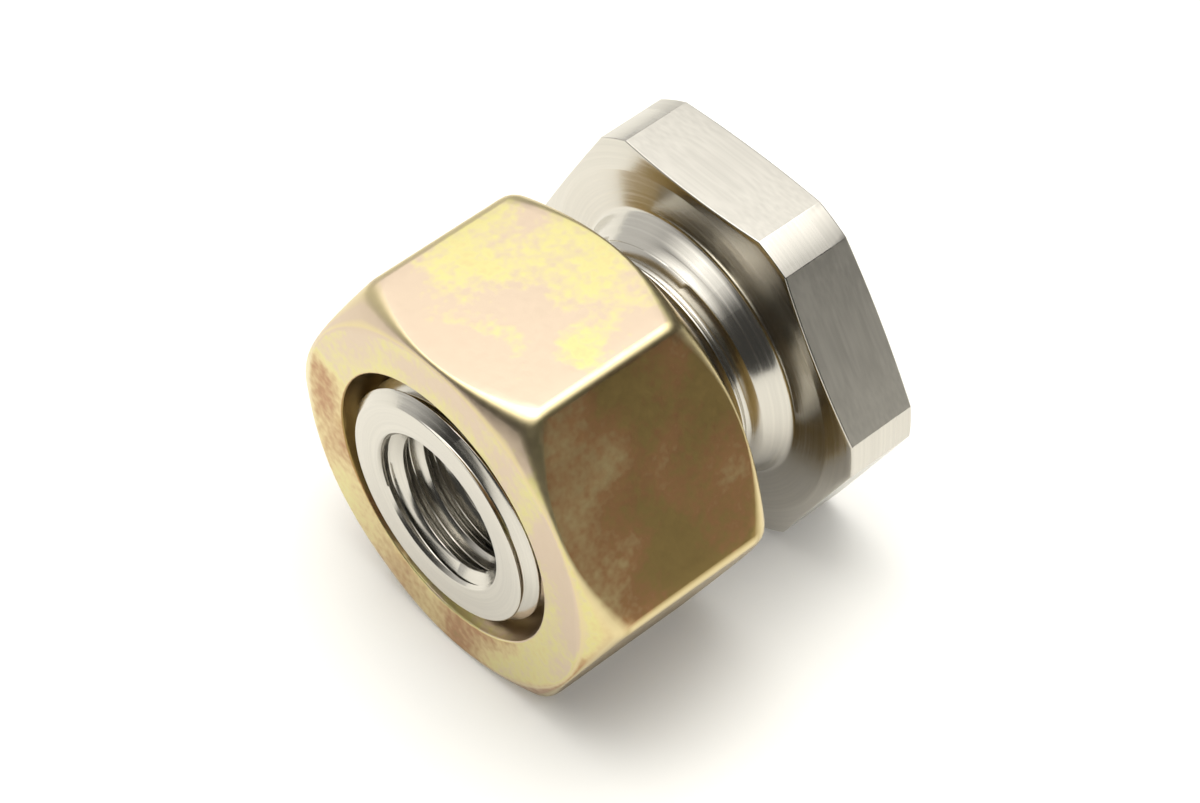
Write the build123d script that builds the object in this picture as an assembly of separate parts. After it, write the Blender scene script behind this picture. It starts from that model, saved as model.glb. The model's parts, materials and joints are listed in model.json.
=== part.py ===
from build123d import *

import os
from math import radians, sqrt, tan

# A hexagon weld nut with its lock nut: a turned steel weld body and a hexagon nut on its threaded shank.
#
# Millimetres. The axis runs along X, from the weld face to the shank's open end. The fitting lies on one flat
# of its flange, with Z up. The origin is on the floor, under the middle of the whole length.

# Both hexagons
ACROSS_FLATS = 28.0

# Lock nut
NUT_HEIGHT = 15.5
NUT_FACE_MARGIN = 0.3
NUT_CHAMFER_ANGLE = 30.0
NUT_RIDGE_R = 0.8
RECESS_DEPTH = 3.7
RECESS_FLARE = 0.85
RECESS_STEP = 0.35

# Weld body: flange
FLANGE_THICKNESS = 6.2
CORNER_LOSS = 0.765
WELD_CHAMFER_WIDTH = 2.6
WELD_CHAMFER_ANGLE = 8.0
SEAT_CHAMFER_WIDTH = 2.15
SEAT_CHAMFER_ANGLE = 10.0

# Weld body: neck and threaded shank
SHANK_LENGTH = 22.3
THREAD_D = 18.0
END_BEVEL = 0.7
RELIEF_DEPTH = 0.9
RELIEF_FLAT = 0.4
NECK_FILLET_R = 3.0

# Weld body: tapped hole, drawn at its tapping drill size
TAPPING_D = 10.2
WELD_MOUTH_CHAMFER = 1.3
END_MOUTH_CHAMFER = 0.9

# Fits and places
THREAD_CLEARANCE = 0.05
GRIP_GAP = 6.4

# Worked out from the sizes above
CORNER_R = ACROSS_FLATS / sqrt(3)
BAR_R = CORNER_R - CORNER_LOSS
THREAD_R = THREAD_D / 2
RELIEF_R = THREAD_R - RELIEF_DEPTH
SHANK_X = FLANGE_THICKNESS
SHANK_END_X = SHANK_X + SHANK_LENGTH
THREAD_X = SHANK_X + NECK_FILLET_R + RELIEF_FLAT
NUT_X = SHANK_X + GRIP_GAP
TOTAL_LENGTH = max(SHANK_END_X, NUT_X + NUT_HEIGHT)
REST_PLACE = Pos(-TOTAL_LENGTH / 2, 0, ACROSS_FLATS / 2)


def turned(*profile):
    """Solid of revolution about X, from points (x, radius) that close along the axis."""
    start_x, end_x = profile[0][0], profile[-1][0]
    outline = Polyline((start_x, 0), *profile, (end_x, 0), close=True)
    return revolve(make_face(outline), Axis.X)


def hexagon_bar(length, ridge_radius=0.0):
    """Hexagon prism along X from x = 0, with flats above and below."""
    section = RegularPolygon(ACROSS_FLATS / 2, 6, major_radius=False)
    if ridge_radius > 0:
        section = fillet(section.vertices(), ridge_radius)
    return extrude(Plane.YZ * section, length)


def flange():
    """Round bar with both faces chamfered on the lathe, then milled to a hexagon with narrow round corners."""
    weld_depth = WELD_CHAMFER_WIDTH * tan(radians(WELD_CHAMFER_ANGLE))
    seat_depth = SEAT_CHAMFER_WIDTH * tan(radians(SEAT_CHAMFER_ANGLE))
    disc = turned(
        (0, BAR_R - WELD_CHAMFER_WIDTH),
        (weld_depth, BAR_R),
        (FLANGE_THICKNESS - seat_depth, BAR_R),
        (FLANGE_THICKNESS, BAR_R - SEAT_CHAMFER_WIDTH),
    )
    return disc & hexagon_bar(FLANGE_THICKNESS)


def neck():
    """Relief groove with the large hollow radius that runs out into the flange."""
    hollow_top = (SHANK_X, RELIEF_R + NECK_FILLET_R)
    hollow_foot = (SHANK_X + NECK_FILLET_R, RELIEF_R)
    face = Line((SHANK_X, 0), hollow_top)
    hollow = RadiusArc(hollow_top, hollow_foot, -NECK_FILLET_R)
    groove = Polyline(hollow_foot, (THREAD_X, RELIEF_R), (THREAD_X, 0), (SHANK_X, 0))
    return revolve(make_face(face + hollow + groove), Axis.X)


def threaded_shank():
    """Shank at its thread's outer diameter, bevelled at the relief and at the open end."""
    return turned(
        (THREAD_X, RELIEF_R),
        (THREAD_X + RELIEF_DEPTH, THREAD_R),
        (SHANK_END_X - END_BEVEL, THREAD_R),
        (SHANK_END_X, THREAD_R - END_BEVEL),
    )


def tapped_hole():
    """The through hole with a chamfered mouth at both ends."""
    hole_r = TAPPING_D / 2
    return turned(
        (0, hole_r + WELD_MOUTH_CHAMFER),
        (WELD_MOUTH_CHAMFER, hole_r),
        (SHANK_END_X - END_MOUTH_CHAMFER, hole_r),
        (SHANK_END_X, hole_r + END_MOUTH_CHAMFER),
    )


def weld_body():
    """Flange, neck and shank, turned from one bar."""
    return flange() + neck() + threaded_shank() - tapped_hole()


def nut_blank():
    """Hexagon with slightly rounded ridges and its corners chamfered at both ends."""
    face_r = ACROSS_FLATS / 2 - NUT_FACE_MARGIN
    depth = (CORNER_R - face_r) * tan(radians(NUT_CHAMFER_ANGLE))
    chamfers = turned((0, face_r), (depth, CORNER_R), (NUT_HEIGHT - depth, CORNER_R), (NUT_HEIGHT, face_r))
    return hexagon_bar(NUT_HEIGHT, NUT_RIDGE_R) & chamfers


def nut_inside():
    """The bore over the shank's thread, with a flared recess at both ends and a small step at its floor."""
    bore_r = THREAD_R + THREAD_CLEARANCE
    floor_r = THREAD_R + RECESS_STEP
    mouth_r = floor_r + RECESS_FLARE
    return turned(
        (0, mouth_r),
        (RECESS_DEPTH, floor_r),
        (RECESS_DEPTH, bore_r),
        (NUT_HEIGHT - RECESS_DEPTH, bore_r),
        (NUT_HEIGHT - RECESS_DEPTH, floor_r),
        (NUT_HEIGHT, mouth_r),
    )


def lock_nut():
    """The hexagon nut where it is stored on the shank."""
    return Pos(NUT_X, 0, 0) * (nut_blank() - nut_inside())


def main():
    os.makedirs("parts", exist_ok=True)
    export_step(REST_PLACE * weld_body(), "parts/weld_body.step")
    export_step(REST_PLACE * lock_nut(), "parts/lock_nut.step")


main()
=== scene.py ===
import json
from cmath import exp, phase
from math import acos, ceil, cos, floor, hypot, pi, radians, sin, tan

import bmesh
import bpy
from bpy.props import FloatProperty, FloatVectorProperty, PointerProperty
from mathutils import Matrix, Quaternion, Vector, noise


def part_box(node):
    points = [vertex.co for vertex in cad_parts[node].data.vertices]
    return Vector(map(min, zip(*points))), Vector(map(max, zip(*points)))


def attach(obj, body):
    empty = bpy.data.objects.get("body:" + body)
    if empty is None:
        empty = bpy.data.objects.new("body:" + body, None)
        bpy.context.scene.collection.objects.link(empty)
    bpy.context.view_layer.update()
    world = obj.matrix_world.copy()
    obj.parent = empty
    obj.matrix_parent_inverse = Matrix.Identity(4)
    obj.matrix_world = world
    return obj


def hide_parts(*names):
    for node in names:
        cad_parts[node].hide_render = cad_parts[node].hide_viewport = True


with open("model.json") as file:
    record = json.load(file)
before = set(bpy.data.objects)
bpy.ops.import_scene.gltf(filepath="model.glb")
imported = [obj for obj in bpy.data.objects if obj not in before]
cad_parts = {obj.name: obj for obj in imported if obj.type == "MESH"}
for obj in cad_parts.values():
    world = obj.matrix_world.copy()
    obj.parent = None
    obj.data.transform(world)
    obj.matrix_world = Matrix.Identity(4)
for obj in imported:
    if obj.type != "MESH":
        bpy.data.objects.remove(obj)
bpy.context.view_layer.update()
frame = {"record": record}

bl_info = {
    "name": "Weld Nut with Lock Nut",
    "version": (1, 0, 0),
    "blender": (4, 5, 0),
    "location": "3D View > Sidebar > Weld Nut",
    "description": "A turned steel weld body with its yellow-passivated lock nut, on a white table",
    "category": "Add Mesh",
}

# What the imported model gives, in metres. The axis runs along X at AXIS_HEIGHT.
MM = 0.001
MOUNTS = {mount["name"]: mount for mount in frame["record"]["mounts"]}
AXIS_HEIGHT = MOUNTS["tapped_hole"]["pos_m"][2]
DRILL_RADIUS = MOUNTS["tapped_hole"]["dims"]["r_mm"] * MM
SEAT_X = MOUNTS["flange_seat"]["pos_m"][0]
BODY_LOW, BODY_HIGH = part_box("weld_body")
BAR_RADIUS = (BODY_HIGH.y - BODY_LOW.y) / 2
NUT_LOW, NUT_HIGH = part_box("lock_nut")

# How finely shapes are divided: hexagon flats and corner strips across, roundings, and the nut's flats along
FLAT_COLUMNS = 16
STRIP_COLUMNS = 6
EDGE_STEPS = 3
NUT_EDGE_STEPS = 5
NUT_FLAT_ROWS = 24

# The most that a rounding takes of the run on either side of it
RUN_SHARE = 0.45

# Points nearer than this are one point, and a thread's points nearer than this to its end lie on the end
SAME_POINT = 0.0001 * MM
END_SNAP = 0.01 * MM

# 60 degree threads: how far a flank leads along the axis for its depth, and how round the roots are
FLANK = tan(pi / 6)
CUT_ROOT = 0.12 * MM
NUT_ROOT = 0.1 * MM

# The shank's thread starts at this share of the neck's length and is full one neck length further
RUN_OUT_START = 0.6

# The weld body's finishes, and how its faces are told apart: the tilt that a milled flat may have, how near
# to the bar's round a corner strip lies, and how deep the facing cut reaches at the weld face
TURNED, FACED, MILLED = 0, 1, 2
FLAT_TILT = 0.01
STRIP_SLACK = 0.05 * MM
FACED_DEPTH = 1.5 * MM

# Distance over which the nut's cold-formed outside rises and falls
WAVE_SIZE = 5 * MM

# The camera's sensor in millimetres, and plain white light
SENSOR_WIDTH = 36
WHITE = (1, 1, 1, 1)

# Sockets of a Mix node that mixes colours
MIX_A, MIX_B, MIX_RESULT = 6, 7, 2


def linear(hex_colour):
    """Linear red, green and blue of an sRGB hex colour."""
    parts = [int(hex_colour[i : i + 2], 16) / 255 for i in (1, 3, 5)]
    return [p / 12.92 if p <= 0.04045 else ((p + 0.055) / 1.055) ** 2.4 for p in parts]


def size(name, description, millimetres):
    """A length that a user can change."""
    return FloatProperty(
        name=name, description=description, default=millimetres * MM, unit="LENGTH", precision=5
    )


def turn(name, description, degrees):
    """An angle that a user can change."""
    return FloatProperty(name=name, description=description, default=radians(degrees), subtype="ANGLE")


def colour(name, description, hex_colour):
    """A colour that a user can change."""
    return FloatVectorProperty(
        name=name, description=description, default=linear(hex_colour), subtype="COLOR", min=0, max=1
    )


def level(name, description, default):
    """A plain number that a user can change."""
    return FloatProperty(name=name, description=description, default=default)


class WeldBodySettings(bpy.types.PropertyGroup):
    """Sizes and colours of the turned weld body."""

    thread_diameter: size("Thread diameter", "Outer diameter of the shank's thread", 18.0)
    thread_pitch: size("Thread pitch", "Travel in one turn of the shank's thread", 1.5)
    thread_depth: size("Thread depth", "From the thread's crest to its root", 0.9)
    thread_crest: size("Crest width", "Flat left on top of the shank's thread", 0.19)
    neck_diameter: size("Neck diameter", "Diameter of the neck's cone at the flange", 20.4)
    neck_length: size("Neck length", "Length of the cone, into which the thread runs out", 2.1)
    neck_fillet: size("Neck fillet", "Rounding between the flange and the cone", 0.5)
    end_bevel: size("End bevel", "Bevel round the shank's open end", 0.7)
    weld_chamfer_width: size("Weld chamfer width", "Radial width of the chamfer at the weld face", 2.6)
    weld_chamfer_angle: turn("Weld chamfer angle", "Angle between that chamfer and the weld face", 8)
    seat_chamfer_width: size("Seat chamfer width", "Radial width of the chamfer at the seat face", 2.15)
    seat_chamfer_angle: turn("Seat chamfer angle", "Angle between that chamfer and the seat face", 10)
    hole_diameter: size("Hole thread diameter", "Outer diameter of the tapped hole's thread", 12.0)
    hole_pitch: size("Hole thread pitch", "Travel in one turn of the tapped hole's thread", 1.75)
    hole_crest: size("Hole crest width", "Flat left between two grooves of the tapped hole", 0.3)
    weld_mouth: size("Weld side mouth", "Chamfer of the tapped hole's mouth in the weld face", 1.3)
    end_mouth: size("Open end mouth", "Chamfer of the tapped hole's mouth in the shank's end", 0.9)
    edge_break: size("Edge break", "Radius of the edges after deburring", 0.12)
    steel: colour("Bare steel", "Freshly cut free-machining steel", "#CBC7BE")


class LockNutSettings(bpy.types.PropertyGroup):
    """Sizes and colours of the plated lock nut."""

    face_margin: size("Face margin", "From the flat face's edge to the flats", 0.3)
    chamfer_angle: turn("Chamfer angle", "Angle between the corner chamfers and the face", 30)
    ridge_radius: size("Ridge radius", "Rounding of the six ridges", 1.0)
    edge_radius: size("Edge radius", "Rounding of the chamfers' edges after tumbling", 0.8)
    corner_radius: size("Corner radius", "Rounding of the same edges at the ridges", 2.4)
    recess_depth: size("Recess depth", "Depth of the recess at each end", 3.7)
    recess_flare: size("Recess flare", "How much wider the recess is at its mouth, in radius", 0.85)
    recess_step: size("Recess step", "From the shank's thread to the recess's wall at its floor", 0.35)
    recess_edge: size("Recess edge", "Rounding of the recess's mouth", 0.15)
    thread_play: size("Thread play", "Play between the two threads", 0.05)
    thread_minor: size("Thread minor diameter", "Inner diameter of the nut's thread", 16.5)
    waviness: size("Waviness", "How uneven the cold-formed outside is", 0.012)
    cream: colour("Cream film", "Passivation where the film is thinnest", "#CCB9A3")
    yellow: colour("Yellow film", "Passivation where it is a little thicker", "#D2C98E")
    straw: colour("Straw film", "Passivation on most of the nut", "#D0BE8C")
    rose: colour("Rose film", "Passivation where it is thicker still", "#AB825A")
    olive: colour("Olive film", "Passivation where the film is thickest", "#9A8352")
    worn: colour("Worn film", "Passivation rubbed thin on the edges", "#D4C498")


class StageSettings(bpy.types.PropertyGroup):
    """The white table, the soft light and the camera."""

    floor_size: size("Floor size", "Width of the white table", 4000)
    floor_colour: colour("Floor colour", "Matt white board", "#F2F1EC")
    floor_lift: level("Floor lift", "White that the board adds for the camera and in metal", 0.15)
    room_colour: colour("Room colour", "Slightly warm light of the room", "#FFFEFB")
    horizon_light: level("Horizon light", "Brightness of the dim room round the table", 0.06)
    wall_light: level("Wall light", "Brightness of the pale wall on one side", 0.8)
    overhead_light: level("Overhead light", "Brightness of the diffuser overhead", 2.15)
    lamp_colour: colour("Lamp colour", "Warm white of the soft box", "#FFFDF9")
    lamp_power: FloatProperty(
        name="Lamp power", description="Power of the soft box above and behind", default=0.85, unit="POWER"
    )
    lamp_size: size("Lamp size", "Width of the soft box", 350)
    lamp_place: FloatVectorProperty(
        name="Lamp place",
        description="Middle of the soft box, which points at the fitting",
        default=(-45 * MM, -30 * MM, 450 * MM),
        subtype="TRANSLATION",
        unit="LENGTH",
    )
    camera_turn: turn("Camera turn", "Direction to the camera, from +X towards +Y", 50.21)
    camera_rise: turn("Camera rise", "Height of the camera above the horizon", 47.76)
    camera_lean: turn("Camera lean", "Turn of the camera about its own line of sight", -2.4)
    camera_distance: size("Camera distance", "From the fitting's middle to the camera", 262.07)
    camera_lens: level("Camera lens", "Focal length in millimetres, on a 36 mm wide sensor", 118.0)


# Outlines, as complex numbers: x + 1j * radius along the axis, or z + 1j * y across it


def rounded(corners):
    """Points (place, wear) of a polyline with corners (place, radius, steps, cuts).

    A corner with steps becomes an arc of that many. Cuts divide the run that follows the corner. Wear is 1
    in the middle of an arc and 0 on the runs.
    """
    arcs = []
    for i, (here, radius, steps, _) in enumerate(corners):
        if not steps:
            arcs.append([(here, 0.0)])
            continue
        coming = here - corners[i - 1][0]
        going = corners[i + 1][0] - here
        bend = phase(going / coming)
        reach = min(radius * tan(abs(bend) / 2), RUN_SHARE * abs(coming), RUN_SHARE * abs(going))
        start = here - coming / abs(coming) * reach
        spoke = coming / abs(coming) * -1j * reach / tan(bend / 2)
        shares = [step / steps for step in range(steps + 1)]
        arcs.append([(start - spoke + spoke * exp(1j * bend * share), sin(pi * share)) for share in shares])
    points = []
    for i, arc in enumerate(arcs):
        points += arc
        cuts = corners[i][3]
        if cuts:
            start, end = arc[-1][0], arcs[i + 1][0][0]
            points += [(start + (end - start) * cut / cuts, 0.0) for cut in range(1, cuts)]
    return points


def hexagon_columns(across_flats, bar_radius, edge_radius):
    """Columns (angle, radius, wear) once round a hexagon that is milled on a bar of that radius.

    The angle is 0 at +Z and grows towards +Y. It runs from -pi to pi, so the last column lies on the first.
    A bar that is narrower than the hexagon's corners leaves a round strip at each, and a wider one a ridge.
    """
    half = across_flats / 2
    ridge_r = half / cos(pi / 6)
    has_strips = bar_radius < ridge_r
    flat_end = acos(half / bar_radius) if has_strips else pi / 6
    strip = pi / 3 - 2 * flat_end
    corners = []
    for side in range(6):
        middle = exp(1j * (side * pi / 3 - pi))
        corners.append((middle * half, 0, 0, FLAT_COLUMNS // 2))
        if has_strips:
            for i in range(STRIP_COLUMNS + 1):
                steps = EDGE_STEPS if i in (0, STRIP_COLUMNS) else 0
                cuts = FLAT_COLUMNS // 2 if i == STRIP_COLUMNS else 0
                place = middle * exp(1j * (flat_end + strip * i / STRIP_COLUMNS)) * bar_radius
                corners.append((place, edge_radius, steps, cuts))
        else:
            place = middle * exp(1j * pi / 6) * ridge_r
            corners.append((place, edge_radius, 2 * EDGE_STEPS, FLAT_COLUMNS // 2))
    corners.append((-half, 0, 0, 0))
    columns = []
    last = -1
    angle = -pi
    for place, wear in rounded(corners):
        angle += phase(place / last)
        last = place
        columns.append((angle, abs(place), wear))
    return columns


def thread_tooth(pitch, top, bottom, flat, rounding):
    """Points (along, radius) of one pitch of a 60 degree thread, from the middle of a tooth's flat top."""
    flank = abs(top - bottom) * FLANK
    corners = [
        (1j * top, 0, 0, 0),
        (flat / 2 + 1j * top, rounding / 2, 1, 0),
        (flat / 2 + flank + 1j * bottom, rounding, 2, 0),
        (pitch - flat / 2 - flank + 1j * bottom, rounding, 2, 0),
        (pitch - flat / 2 + 1j * top, rounding / 2, 1, 0),
        (pitch + 1j * top, 0, 0, 0),
    ]
    return [(place.real, place.imag) for place, _ in rounded(corners)]


def radius_at(tooth, along):
    """Radius of a tooth's outline at a place along the axis."""
    pitch = tooth[-1][0]
    along %= pitch
    for (start, low), (end, high) in zip(tooth, tooth[1:]):
        if along <= end:
            return low + (high - low) * (along - start) / max(end - start, SAME_POINT)
    return tooth[-1][1]


def thread_lines(columns, start, end, tooth, shift=0.0):
    """Lines of points (x + 1j * radius, wear), one for each column, that follow a right-hand helix.

    Where the helix would leave the stretch from start to end, its points gather on that end.
    """
    pitch = tooth[-1][0]
    turns = range(floor((start - shift) / pitch) - 1, ceil((end - shift) / pitch) + 2)
    lines = []
    for angle, _, _ in columns:
        lead = shift - pitch * angle / (2 * pi)
        line = []
        for number in turns:
            for along, _ in tooth[:-1]:
                x = min(max(number * pitch + along + lead, start), end)
                if x - start < END_SNAP:
                    x = start
                if end - x < END_SNAP:
                    x = end
                line.append((x + 1j * radius_at(tooth, x - lead), 0.0))
        lines.append(line)
    return lines


# Meshes


def add_skin(mesh, columns, lines, limit=None, kinks=()):
    """Joins lines of points into faces. A limit then trims each point's radius, sharply at the kinks."""
    wear_layer = mesh.verts.layers.float.get("wear") or mesh.verts.layers.float.new("wear")
    grid = []
    for (angle, cap, column_wear), line in zip(columns, lines):
        rim = []
        for place, wear in line:
            x, radius = place.real, place.imag
            vert = mesh.verts.new((x, radius * sin(angle), AXIS_HEIGHT + radius * cos(angle)))
            vert[wear_layer] = max(wear, column_wear if radius > cap - SAME_POINT else 0.0)
            rim.append(vert)
        grid.append(rim)
    faces = []
    for left, right in zip(grid, grid[1:]):
        for row in range(len(left) - 1):
            faces.append(mesh.faces.new((left[row], left[row + 1], right[row + 1], right[row])))
    if limit:
        trim(mesh, faces, limit, kinks)


def trim(mesh, faces, limit, kinks):
    """Trims a thread's radius at its ends, after cutting its faces where the trim starts."""
    for kink in kinks:
        live = [face for face in faces if face.is_valid]
        parts = set(live)
        for face in live:
            parts.update(face.edges)
            parts.update(face.verts)
        cut = bmesh.ops.bisect_plane(
            mesh, geom=list(parts), dist=SAME_POINT, plane_co=(kink, 0, 0), plane_no=(1, 0, 0)
        )
        faces = [part for part in cut["geom"] if isinstance(part, bmesh.types.BMFace)]
    points = {vert for face in faces if face.is_valid for vert in face.verts}
    for vert in points:
        radius = hypot(vert.co.y, vert.co.z - AXIS_HEIGHT)
        share = limit(vert.co.x, radius) / radius
        vert.co.y *= share
        vert.co.z = AXIS_HEIGHT + (vert.co.z - AXIS_HEIGHT) * share


def finish_piece(mesh, name, materials):
    """Closes the skins into one solid shell and makes the piece from it, with large faces shaded evenly."""
    bmesh.ops.remove_doubles(mesh, verts=mesh.verts, dist=SAME_POINT)
    bmesh.ops.dissolve_degenerate(mesh, edges=mesh.edges, dist=SAME_POINT)
    bmesh.ops.recalc_face_normals(mesh, faces=mesh.faces)
    for face in mesh.faces:
        face.smooth = True
    data = bpy.data.meshes.new(name)
    mesh.to_mesh(data)
    mesh.free()
    piece = bpy.data.objects.new(name, data)
    bpy.context.scene.collection.objects.link(piece)
    for material in materials:
        data.materials.append(material)
    shading = piece.modifiers.new("Even shading", "WEIGHTED_NORMAL")
    shading.keep_sharp = True
    return piece


# Materials


def add_node(tree, kind, inputs=None, stops=None, **settings):
    """Adds a shader node. Inputs maps a socket to a value or to another node's output."""
    node = tree.nodes.new("ShaderNode" + kind)
    for name, value in settings.items():
        setattr(node, name, value)
    for name, value in (inputs or {}).items():
        if isinstance(value, bpy.types.NodeSocket):
            tree.links.new(value, node.inputs[name])
        else:
            node.inputs[name].default_value = value
    for i, (place, shade) in enumerate(stops or ()):
        stop = node.color_ramp.elements[i] if i < 2 else node.color_ramp.elements.new(place)
        stop.position = place
        stop.color = (*shade, 1)
    return node


def new_material(name):
    """An empty node material, with its tree and its output node."""
    material = bpy.data.materials.new(name)
    material.use_nodes = True
    material.node_tree.nodes.clear()
    return material, material.node_tree, add_node(material.node_tree, "OutputMaterial")


def cut_steel(settings, name, grain, run, depth, roughness, spread):
    """Bare steel with the marks of a cutting tool, which lie round the axis.

    The tool leaves fine grooves, so highlights smear across them and stay sharp along them. Grain is how far
    apart the grooves are, run how long and depth how deep. Real feed marks are 0.05 to 0.1 mm apart, and are
    drawn coarser to show. Roughness is the middle of its range, and spread is half the range's width.
    """
    cloud_size = 5 * MM
    darkest, lightest = 0.86, 1.1
    material, tree, output = new_material(name)
    place = add_node(tree, "TexCoord").outputs["Object"]
    from_axis = add_node(
        tree, "VectorMath", {0: place, 1: (0, 0, -AXIS_HEIGHT)}, operation="ADD"
    ).outputs[0]
    across = add_node(tree, "VectorMath", {0: from_axis, 1: (0, 1, 1)}, operation="MULTIPLY").outputs[0]
    radius = add_node(tree, "VectorMath", {0: across}, operation="LENGTH").outputs["Value"]
    x = add_node(tree, "SeparateXYZ", {0: place}).outputs["X"]
    rings = add_node(tree, "CombineXYZ", {"X": x, "Y": radius}).outputs[0]
    slow = add_node(tree, "VectorMath", {0: across, 1: (grain / run,) * 3}, operation="MULTIPLY").outputs[0]
    marks_at = add_node(tree, "VectorMath", {0: rings, 1: slow}, operation="ADD").outputs[0]
    marks = add_node(
        tree, "TexNoise", {"Vector": marks_at, "Scale": 1 / grain, "Detail": 1}
    ).outputs["Fac"]
    cloud = add_node(
        tree, "TexNoise", {"Vector": place, "Scale": 1 / cloud_size, "Detail": 2}
    ).outputs["Fac"]
    uneven = add_node(tree, "Math", {0: marks, 1: cloud}, operation="ADD").outputs[0]
    # The two patterns add up to 0.7 to 1.3 nearly everywhere
    dull = add_node(
        tree,
        "MapRange",
        {
            "Value": uneven,
            "From Min": 0.7,
            "From Max": 1.3,
            "To Min": roughness - spread,
            "To Max": roughness + spread,
        },
    ).outputs[0]
    shade = add_node(
        tree,
        "Mix",
        {
            0: marks,
            MIX_A: (*[c * darkest for c in settings.steel], 1),
            MIX_B: (*[min(1, c * lightest) for c in settings.steel], 1),
        },
        data_type="RGBA",
    ).outputs[MIX_RESULT]
    relief = add_node(tree, "Bump", {"Height": marks, "Strength": 1.0, "Distance": depth}).outputs[0]
    # The grooves follow the tangent, so a quarter turn smears highlights across them
    tangent = add_node(tree, "Tangent", direction_type="RADIAL", axis="X").outputs[0]
    shader = add_node(
        tree,
        "BsdfPrincipled",
        {
            "Base Color": shade,
            "Metallic": 1.0,
            "Roughness": dull,
            "Normal": relief,
            "Anisotropic": 0.55,
            "Anisotropic Rotation": 0.25,
            "Tangent": tangent,
        },
    )
    tree.links.new(shader.outputs[0], output.inputs["Surface"])
    return material


def yellow_zinc(settings):
    """Zinc plating with a yellow chromate film, on a cold-formed and tumbled nut.

    The film is only a few tenths of a micron thick, and its tint goes from cream over yellow, straw and rose
    to olive as it gets thicker. It changes slowly over the nut, and in a fine mottle that follows the dents
    from tumbling. Painted shade and light also set the tint: faces that turn down, towards +Y or to the rear
    get a darker one, and the top and the front a paler one. It is thin and pale where edges rub in the barrel.
    """
    cloud_size, cloud_share = 8 * MM, 0.8
    mottle_size, mottle_share = 0.6 * MM, 0.22
    # Painted shade and light: faces that turn this way, down, towards +Y and to the rear, get a thicker and
    # darker tint, and the top and the front a thinner and paler one
    shaded_side = (-0.25, 0.28, -0.4)
    material, tree, output = new_material("yellow_passivated_zinc")
    coordinates = add_node(tree, "TexCoord")
    place = coordinates.outputs["Object"]
    # Painted shade: how far each face turns towards the shaded side
    painted_shade = add_node(
        tree, "VectorMath", {0: coordinates.outputs["Normal"], 1: shaded_side}, operation="DOT_PRODUCT"
    ).outputs["Value"]
    cloud = add_node(
        tree, "TexNoise", {"Vector": place, "Scale": 1 / cloud_size, "Detail": 1, "Distortion": 0.5}
    ).outputs["Fac"]
    mottle = add_node(
        tree, "TexNoise", {"Vector": place, "Scale": 1 / mottle_size, "Detail": 1.5}
    ).outputs["Fac"]
    # The slow cloud is real unevenness of the film, and the facing term adds the painted shade and light
    cloud_and_shade = add_node(
        tree, "Math", {0: cloud, 1: cloud_share, 2: painted_shade}, operation="MULTIPLY_ADD"
    ).outputs[0]
    # Film thickness, which carries the painted shade and light as well as the mottle
    film = add_node(
        tree, "Math", {0: mottle, 1: mottle_share, 2: cloud_and_shade}, operation="MULTIPLY_ADD"
    ).outputs[0]
    tint = add_node(
        tree,
        "ValToRGB",
        {0: film},
        stops=[
            (0.13, settings.cream),
            (0.24, settings.yellow),
            (0.32, settings.straw),
            (0.48, settings.rose),
            (0.58, settings.olive),
        ],
    ).outputs[0]
    worn = add_node(tree, "Attribute", attribute_name="wear").outputs["Fac"]
    pale = add_node(
        tree, "Mix", {0: worn, MIX_A: tint, MIX_B: (*settings.worn, 1)}, data_type="RGBA"
    ).outputs[MIX_RESULT]
    dull = add_node(
        tree, "MapRange", {"Value": mottle, "From Min": 0.3, "From Max": 0.7, "To Min": 0.29, "To Max": 0.35}
    ).outputs[0]
    relief = add_node(tree, "Bump", {"Height": mottle, "Strength": 1.0, "Distance": 0.003 * MM}).outputs[0]
    shader = add_node(
        tree,
        "BsdfPrincipled",
        {"Base Color": pale, "Metallic": 1.0, "Roughness": dull, "Normal": relief},
    )
    tree.links.new(shader.outputs[0], output.inputs["Surface"])
    return material


# The pieces


def steel_materials(settings):
    """The finishes of the weld body, in the order of TURNED, FACED and MILLED.

    Turning leaves the brightest surface, with grooves right round. Facing leaves a duller one, and milling
    short marks. Every roughness range stays clear of 0.27 to 0.28, where a denoised render gets dark specks.
    """
    return [
        cut_steel(
            settings,
            "turned_steel",
            grain=0.2 * MM,
            run=60 * MM,
            depth=0.003 * MM,
            roughness=0.2,
            spread=0.05,
        ),
        cut_steel(
            settings,
            "faced_steel",
            grain=0.25 * MM,
            run=60 * MM,
            depth=0.005 * MM,
            roughness=0.34,
            spread=0.05,
        ),
        cut_steel(
            settings,
            "milled_steel",
            grain=0.25 * MM,
            run=8 * MM,
            depth=0.002 * MM,
            roughness=0.31,
            spread=0.025,
        ),
    ]


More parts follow.
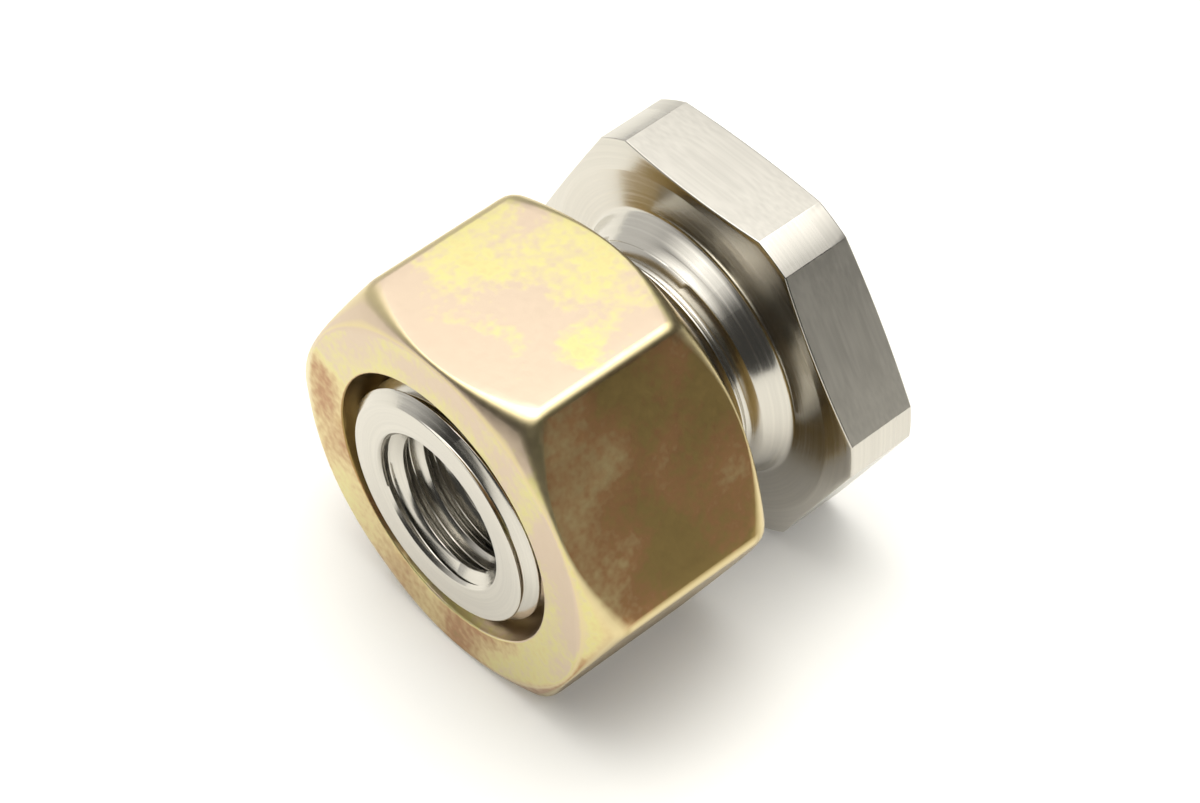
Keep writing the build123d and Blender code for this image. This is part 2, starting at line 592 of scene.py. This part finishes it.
class WELDNUT_OT_add_weld_body(bpy.types.Operator):
    """Add the turned steel weld body: flange, neck, threaded shank and tapped hole"""

    bl_idname = "weld_nut.add_weld_body"
    bl_label = "Add Weld Body"

    def execute(self, context):
        s = context.scene.weld_body
        columns = hexagon_columns(BODY_HIGH.z - BODY_LOW.z, BAR_RADIUS, s.edge_break)
        thread_r = s.thread_diameter / 2
        root_r = thread_r - s.thread_depth
        neck_r = s.neck_diameter / 2
        cone_start = SEAT_X + s.neck_fillet
        cone_end = SEAT_X + s.neck_length
        thread_end = BODY_HIGH.x - s.edge_break
        weld_mouth_r = DRILL_RADIUS + s.weld_mouth
        end_mouth_r = DRILL_RADIUS + s.end_mouth
        lip = 2 * s.edge_break
        tooth = thread_tooth(s.thread_pitch, thread_r, root_r, s.thread_crest, CUT_ROOT)
        hole_tooth = thread_tooth(s.hole_pitch, DRILL_RADIUS, s.hole_diameter / 2, s.hole_crest, CUT_ROOT)

        def shank_limit(x, radius):
            """The cone at the flange, where the thread runs out, and the bevel round the open end."""
            cone = neck_r + (thread_r - neck_r) * (x - SEAT_X) / s.neck_length
            cut = min(1, max(0, (x - SEAT_X) / s.neck_length - RUN_OUT_START))
            depth = (thread_r - radius) * cut * cut * (3 - 2 * cut)
            return min(max(thread_r, cone) - depth, thread_r - s.end_bevel + BODY_HIGH.x - x)

        def hole_limit(x, radius):
            """Chamfered mouths of the hole."""
            return max(radius, weld_mouth_r - (x - BODY_LOW.x), end_mouth_r - (BODY_HIGH.x - x))

        def outside(cap):
            """Section from the hole's mouth at the weld face, over the flange, down to the cone."""
            edge = (s.edge_break, EDGE_STEPS)
            face_r = BAR_RADIUS - s.weld_chamfer_width
            seat_r = BAR_RADIUS - s.seat_chamfer_width
            weld_depth = (cap - face_r) * tan(s.weld_chamfer_angle)
            seat_depth = (cap - seat_r) * tan(s.seat_chamfer_angle)
            return rounded([
                (BODY_LOW.x + lip + 1j * (weld_mouth_r - lip), 0, 0, 0),
                (BODY_LOW.x + 1j * weld_mouth_r, *edge, 4),
                (BODY_LOW.x + 1j * face_r, *edge, 5),
                (BODY_LOW.x + weld_depth + 1j * cap, *edge, 4),
                (SEAT_X - seat_depth + 1j * cap, *edge, 5),
                (SEAT_X + 1j * seat_r, *edge, 3),
                (SEAT_X + 1j * neck_r, s.neck_fillet, EDGE_STEPS, 0),
                (cone_start + 1j * shank_limit(cone_start, 0), 0, 0, 0),
            ])

        def end_face(angle):
            """Section from the end of the thread over the open end to the hole's mouth."""
            lead = s.thread_pitch * angle / (2 * pi)
            start_r = shank_limit(thread_end, radius_at(tooth, thread_end + lead))
            rim_r = min(start_r, radius_at(tooth, BODY_HIGH.x + lead), thread_r - s.end_bevel)
            return rounded([
                (thread_end + 1j * start_r, 0, 0, 0),
                (BODY_HIGH.x + 1j * rim_r, s.edge_break, EDGE_STEPS, 2),
                (BODY_HIGH.x + 1j * end_mouth_r, s.edge_break, EDGE_STEPS, 0),
                (BODY_HIGH.x - lip + 1j * (end_mouth_r - lip), 0, 0, 0),
            ])

        mesh = bmesh.new()
        add_skin(mesh, columns, [outside(cap) for _, cap, _ in columns])
        add_skin(
            mesh,
            columns,
            thread_lines(columns, cone_start, thread_end, tooth),
            shank_limit,
            (cone_end, BODY_HIGH.x - s.end_bevel),
        )
        add_skin(mesh, columns, [end_face(angle) for angle, _, _ in columns])
        add_skin(
            mesh,
            columns,
            thread_lines(columns, BODY_LOW.x + lip, BODY_HIGH.x - lip, hole_tooth),
            hole_limit,
            (BODY_LOW.x + s.weld_mouth, BODY_HIGH.x - s.end_mouth),
        )
        piece = finish_piece(mesh, "turned_weld_body", steel_materials(s))
        for face in piece.data.polygons:
            radius = hypot(face.center.y, face.center.z - AXIS_HEIGHT)
            on_side = abs(face.normal.x) < FLAT_TILT and radius > neck_r
            if on_side and abs(radius - BAR_RADIUS) >= STRIP_SLACK:
                face.material_index = MILLED
            elif face.center.x < BODY_LOW.x + FACED_DEPTH:
                face.material_index = FACED
            else:
                face.material_index = TURNED
        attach(piece, "body")
        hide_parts("weld_body")
        return {"FINISHED"}


class WELDNUT_OT_add_lock_nut(bpy.types.Operator):
    """Add the hexagon lock nut, plated and yellow-passivated, where it is stored on the shank"""

    bl_idname = "weld_nut.add_lock_nut"
    bl_label = "Add Lock Nut"

    def execute(self, context):
        s = context.scene.lock_nut
        body = context.scene.weld_body
        across_flats = NUT_HIGH.z - NUT_LOW.z
        # No round bar narrows the nut, so its ridges are whole
        bar_radius = across_flats
        columns = hexagon_columns(across_flats, bar_radius, s.ridge_radius)
        thread_r = body.thread_diameter / 2
        bore_r = thread_r + s.thread_play
        floor_r = thread_r + s.recess_step
        mouth_r = floor_r + s.recess_flare
        face_r = across_flats / 2 - s.face_margin
        ridge_gain = 1 / cos(pi / 6) - 1
        rear_floor = NUT_LOW.x + s.recess_depth
        front_floor = NUT_HIGH.x - s.recess_depth
        crest = body.thread_pitch - body.thread_crest - 2 * (thread_r - s.thread_minor / 2) * FLANK
        tooth = thread_tooth(
            body.thread_pitch, s.thread_minor / 2, bore_r, crest - 2 * s.thread_play, NUT_ROOT
        )

        def nut_limit(x, radius):
            """Lead-in at both ends of the nut's thread."""
            return max(radius, bore_r - (x - rear_floor), bore_r - (front_floor - x))

        def outside(cap):
            """Section from the rear recess's floor over the outside to the front recess's floor."""
            depth = (cap - face_r) * tan(s.chamfer_angle)
            share = min(1, max(0, (cap / across_flats * 2 - 1) / ridge_gain))
            edge = (s.edge_radius + (s.corner_radius - s.edge_radius) * share, NUT_EDGE_STEPS)
            lip = (s.recess_edge, EDGE_STEPS)
            points = rounded([
                (rear_floor + 1j * bore_r, 0, 0, 0),
                (rear_floor + 1j * floor_r, *lip, 4),
                (NUT_LOW.x + 1j * mouth_r, *lip, 3),
                (NUT_LOW.x + 1j * face_r, *edge, 0),
                (NUT_LOW.x + depth + 1j * cap, *edge, NUT_FLAT_ROWS),
                (NUT_HIGH.x - depth + 1j * cap, *edge, 0),
                (NUT_HIGH.x + 1j * face_r, *edge, 3),
                (NUT_HIGH.x + 1j * mouth_r, *lip, 4),
                (front_floor + 1j * floor_r, *lip, 0),
                (front_floor + 1j * bore_r, 0, 0, 0),
            ])
            return [(place, wear if place.imag > face_r + SAME_POINT else 0.0) for place, wear in points]

        mesh = bmesh.new()
        add_skin(mesh, columns, [outside(cap) for _, cap, _ in columns])
        # Only the outside dips, and the recesses stay true
        for vert in mesh.verts:
            across = Vector((0, vert.co.y, vert.co.z - AXIS_HEIGHT))
            if across.length > mouth_r + s.face_margin:
                dip = 0.5 + 0.5 * noise.noise(vert.co / WAVE_SIZE)
                vert.co -= across.normalized() * s.waviness * dip
        add_skin(
            mesh,
            columns,
            thread_lines(columns, rear_floor, front_floor, tooth, body.thread_pitch / 2),
            nut_limit,
            (rear_floor + bore_r - s.thread_minor / 2, front_floor - bore_r + s.thread_minor / 2),
        )
        piece = finish_piece(mesh, "plated_lock_nut", [yellow_zinc(s)])
        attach(piece, "nut")
        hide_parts("lock_nut")
        return {"FINISHED"}


# The stage


def floor_material(settings):
    """Matt white board, which scatters light evenly. A lift keeps it near white in the camera and in metal."""
    material, tree, output = new_material("matt_white_board")
    board = add_node(tree, "BsdfDiffuse", {"Color": (*settings.floor_colour, 1)}).outputs[0]
    path = add_node(tree, "LightPath").outputs
    seen = add_node(
        tree, "Math", {0: path["Is Camera Ray"], 1: path["Is Glossy Ray"]}, operation="MAXIMUM"
    ).outputs[0]
    strength = add_node(tree, "Math", {0: seen, 1: settings.floor_lift}, operation="MULTIPLY").outputs[0]
    lift = add_node(tree, "Emission", {"Color": WHITE, "Strength": strength}).outputs[0]
    both = add_node(tree, "AddShader", {0: board, 1: lift}).outputs[0]
    tree.links.new(both, output.inputs["Surface"])
    return material


def light_room(settings):
    """A dim room with one pale wall, and a diffuser that hangs overhead, a little off centre.

    Metal mirrors the room, and the camera sees white round the table. The diffuser and the wall have soft
    edges, so the light on the metal fades evenly.
    """
    diffuser_towards = (-0.1, -0.05, 1)
    diffuser_edge, diffuser_full = 0.6, 0.93
    wall_edge, wall_full = -0.3, -0.9
    world = bpy.data.worlds.new("studio_room")
    bpy.context.scene.world = world
    world.use_nodes = True
    tree = world.node_tree
    tree.nodes.clear()
    output = add_node(tree, "OutputWorld")
    direction = add_node(tree, "TexCoord").outputs["Generated"]
    side = add_node(tree, "SeparateXYZ", {0: direction}).outputs["Y"]
    height = add_node(
        tree, "VectorMath", {0: direction, 1: diffuser_towards}, operation="DOT_PRODUCT"
    ).outputs["Value"]
    overhead = add_node(
        tree,
        "MapRange",
        {"Value": height, "From Min": diffuser_edge, "From Max": diffuser_full},
        interpolation_type="SMOOTHSTEP",
    ).outputs[0]
    around = add_node(
        tree,
        "MapRange",
        {
            "Value": side,
            "From Min": wall_edge,
            "From Max": wall_full,
            "To Min": settings.horizon_light,
            "To Max": settings.wall_light,
        },
        interpolation_type="SMOOTHSTEP",
    ).outputs[0]
    strength = add_node(
        tree, "MapRange", {"Value": overhead, "To Min": around, "To Max": settings.overhead_light}
    ).outputs[0]
    room_colour = (*settings.room_colour, 1)
    room = add_node(tree, "Background", {"Color": room_colour, "Strength": strength}).outputs[0]
    white = add_node(tree, "Background", {"Color": WHITE, "Strength": 1.0}).outputs[0]
    seen = add_node(tree, "LightPath").outputs["Is Camera Ray"]
    mixed = add_node(tree, "MixShader", {0: seen, 1: room, 2: white}).outputs[0]
    tree.links.new(mixed, output.inputs["Surface"])


class WELDNUT_OT_add_stage(bpy.types.Operator):
    """Add the white table, the soft light and the camera"""

    bl_idname = "weld_nut.add_stage"
    bl_label = "Add Stage"

    def execute(self, context):
        scene = context.scene
        s = scene.weld_stage
        half = s.floor_size / 2
        corners = [(-half, -half, 0), (half, -half, 0), (half, half, 0), (-half, half, 0)]
        data = bpy.data.meshes.new("table")
        data.from_pydata(corners, [], [(0, 1, 2, 3)])
        data.materials.append(floor_material(s))
        table = bpy.data.objects.new("table", data)
        scene.collection.objects.link(table)
        light_room(s)

        box = bpy.data.lights.new("soft_box", "AREA")
        box.shape = "SQUARE"
        box.size = s.lamp_size
        box.energy = s.lamp_power
        box.color = s.lamp_colour
        lamp = bpy.data.objects.new("soft_box", box)
        lamp.location = s.lamp_place
        lamp.rotation_euler = (-lamp.location).to_track_quat("-Z", "Y").to_euler()
        scene.collection.objects.link(lamp)

        middle = Vector((0, 0, AXIS_HEIGHT))
        towards = Vector((
            cos(s.camera_turn) * cos(s.camera_rise),
            sin(s.camera_turn) * cos(s.camera_rise),
            sin(s.camera_rise),
        ))
        data = bpy.data.cameras.new("camera")
        data.lens = s.camera_lens
        data.sensor_width = SENSOR_WIDTH
        data.clip_start = 10 * MM
        data.clip_end = 2 * s.floor_size
        camera = bpy.data.objects.new("camera", data)
        camera.location = middle + towards * s.camera_distance
        lean = Quaternion((0, 0, 1), s.camera_lean)
        camera.rotation_euler = ((-towards).to_track_quat("-Z", "Y") @ lean).to_euler()
        scene.collection.objects.link(camera)
        scene.camera = camera
        scene.view_settings.view_transform = "Standard"
        return {"FINISHED"}


class WELDNUT_PT_panel(bpy.types.Panel):
    """Buttons and settings in the sidebar"""

    bl_idname = "WELDNUT_PT_panel"
    bl_label = "Weld Nut"
    bl_space_type = "VIEW_3D"
    bl_region_type = "UI"
    bl_category = "Weld Nut"

    def draw(self, context):
        scene = context.scene
        for operator, settings in (
            (WELDNUT_OT_add_weld_body, scene.weld_body),
            (WELDNUT_OT_add_lock_nut, scene.lock_nut),
            (WELDNUT_OT_add_stage, scene.weld_stage),
        ):
            box = self.layout.box()
            box.operator(operator.bl_idname)
            for name in settings.__annotations__:
                box.prop(settings, name)


CLASSES = (
    WeldBodySettings,
    LockNutSettings,
    StageSettings,
    WELDNUT_OT_add_weld_body,
    WELDNUT_OT_add_lock_nut,
    WELDNUT_OT_add_stage,
    WELDNUT_PT_panel,
)


def register():
    for cls in CLASSES:
        bpy.utils.register_class(cls)
    bpy.types.Scene.weld_body = PointerProperty(type=WeldBodySettings)
    bpy.types.Scene.lock_nut = PointerProperty(type=LockNutSettings)
    bpy.types.Scene.weld_stage = PointerProperty(type=StageSettings)


def unregister():
    del bpy.types.Scene.weld_stage
    del bpy.types.Scene.lock_nut
    del bpy.types.Scene.weld_body
    for cls in reversed(CLASSES):
        bpy.utils.unregister_class(cls)


def main():
    register()
    bpy.ops.weld_nut.add_weld_body()
    bpy.ops.weld_nut.add_lock_nut()
    bpy.ops.weld_nut.add_stage()


if __name__ == "__main__":
    main()
